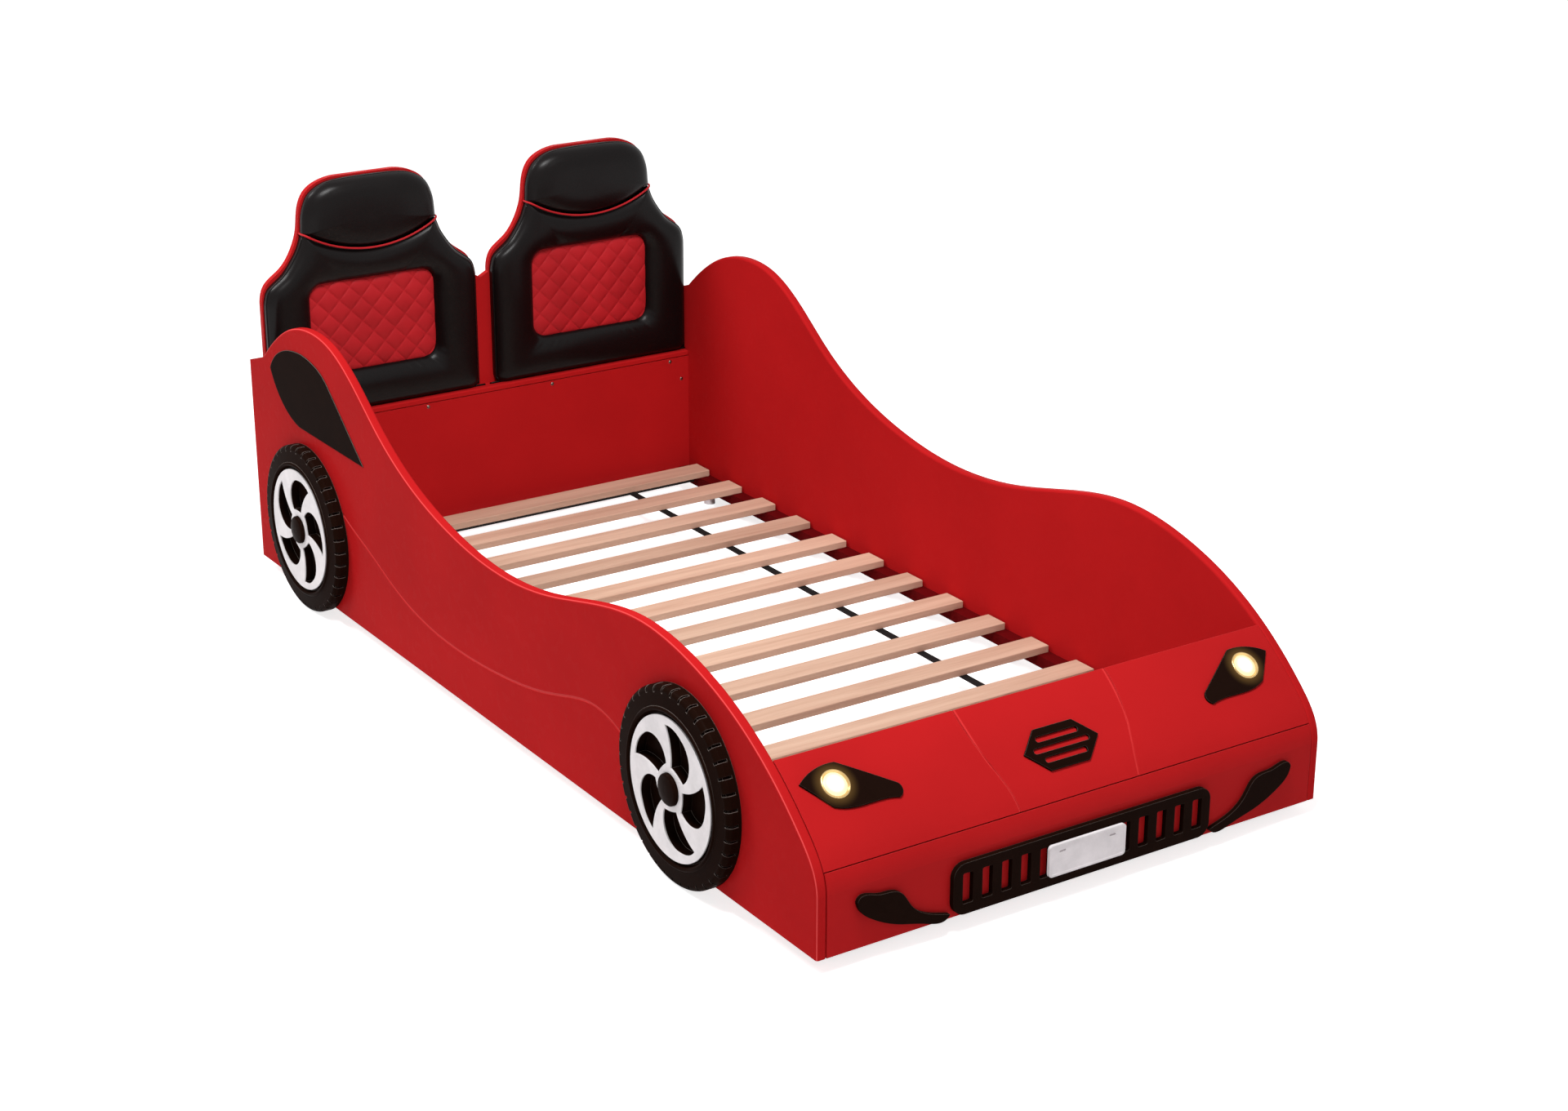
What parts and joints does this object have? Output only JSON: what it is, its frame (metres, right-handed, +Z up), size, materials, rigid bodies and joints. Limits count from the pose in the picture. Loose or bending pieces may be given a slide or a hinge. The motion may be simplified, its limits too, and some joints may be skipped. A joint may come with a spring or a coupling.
{
  "type": "car bed for a child",
  "caption": "Child's single bed shaped like a low sports car, with slatted base, seat-back headboard, fixed wheel mouldings and headlights.",
  "frame": {"origin": "on the floor under the middle of the bounding box", "axes": "+Z up, -Y towards the hood and bumper, +X across the bed from the side panel called left to the one called right"},
  "size_m": [1.1372, 2.146, 0.8455],
  "materials": {
    "red_board": "satin red lacquer on fibreboard",
    "bare_wood": "planed softwood, untreated",
    "gloss_black": "gloss black",
    "plate_white": "satin off-white, left blank",
    "black_bar": "black painted flat bar",
    "tyre_moulding": "satin black, moulded tread",
    "white_rim": "satin white",
    "hub_black": "gloss black",
    "black_upholstery": "smooth imitation leather, soft sheen",
    "red_upholstery": "red imitation leather, quilted",
    "webbing": "black woven webbing",
    "lamp_reflector": "bright metallised plastic",
    "lamp_lens": "clear moulded lens",
    "control_plastic": "fine grained black",
    "switch_red": "gloss red",
    "cell_can": "wrapped steel can",
    "lead_cover": "smooth black insulation",
    "zinc_steel": "zinc plated",
    "glide_plastic": "plain black"
  },
  "bodies": {
    "bed": {"air_intake_left": "gloss_black", "air_intake_right": "gloss_black", "back_pad_left": "black_upholstery", "back_pad_right": "black_upholstery", "battery_box": "control_plastic", "battery_cells": "cell_can", "bracket_screws": "zinc_steel", "bumper_panel": "red_board", "corner_brackets": "zinc_steel", "cross_cleat_front": "black_bar", "cross_cleat_rear": "black_bar", "floor_glides": "glide_plastic", "footboard": "red_board", "grille": "gloss_black", "headboard_ledge": "red_board", "headboard_lining": "red_board", "headboard_panel": "red_board", "headlight_bezel_left": "gloss_black", "headlight_bezel_right": "gloss_black", "headrest_left": "black_upholstery", "headrest_piping_left": "red_upholstery", "headrest_piping_right": "red_upholstery", "headrest_right": "black_upholstery", "hood_panel": "red_board", "hood_rib_left": "red_board", "hood_rib_right": "red_board", "hood_vent": "gloss_black", "hub_cap_front_left": "hub_black", "hub_cap_front_right": "hub_black", "hub_cap_rear_left": "hub_black", "hub_cap_rear_right": "hub_black", "lamp_housing_left": "lamp_reflector", "lamp_housing_right": "lamp_reflector", "lamp_leads": "lead_cover", "lamp_lens_left": "lamp_lens", "lamp_lens_right": "lamp_lens", "lining_battens": "bare_wood", "lining_screws": "zinc_steel", "number_plate": "plate_white", "quilted_insert_left": "red_upholstery", "quilted_insert_right": "red_upholstery", "rim_front_left": "white_rim", "rim_front_right": "white_rim", "rim_rear_left": "white_rim", "rim_rear_right": "white_rim", "side_cleat_left": "red_board", "side_cleat_right": "red_board", "side_panel_left": "red_board", "side_panel_right": "red_board", "side_window_left": "gloss_black", "side_window_right": "gloss_black", "slat_strap_left": "webbing", "slat_strap_right": "webbing", "slats": "bare_wood", "tyre_front_left": "tyre_moulding", "tyre_front_right": "tyre_moulding", "tyre_rear_left": "tyre_moulding", "tyre_rear_right": "tyre_moulding"},
    "lid": {"battery_lid": "control_plastic"},
    "rocker": {"rocker_switch": "switch_red"}
  },
  "joints": [
    {"name": "lid_hinge", "type": "hinge", "parent": "bed", "child": "lid", "pos_m": [0.028, -0.9022, 0.2475], "axis": [1, 0, 0], "range_deg": [0, 100]},
    {"name": "rocker_hinge", "type": "hinge", "parent": "bed", "child": "rocker", "pos_m": [-0.046, -0.903, 0.2255], "axis": [1, 0, 0], "range_deg": [-16, 0]}
  ]
}
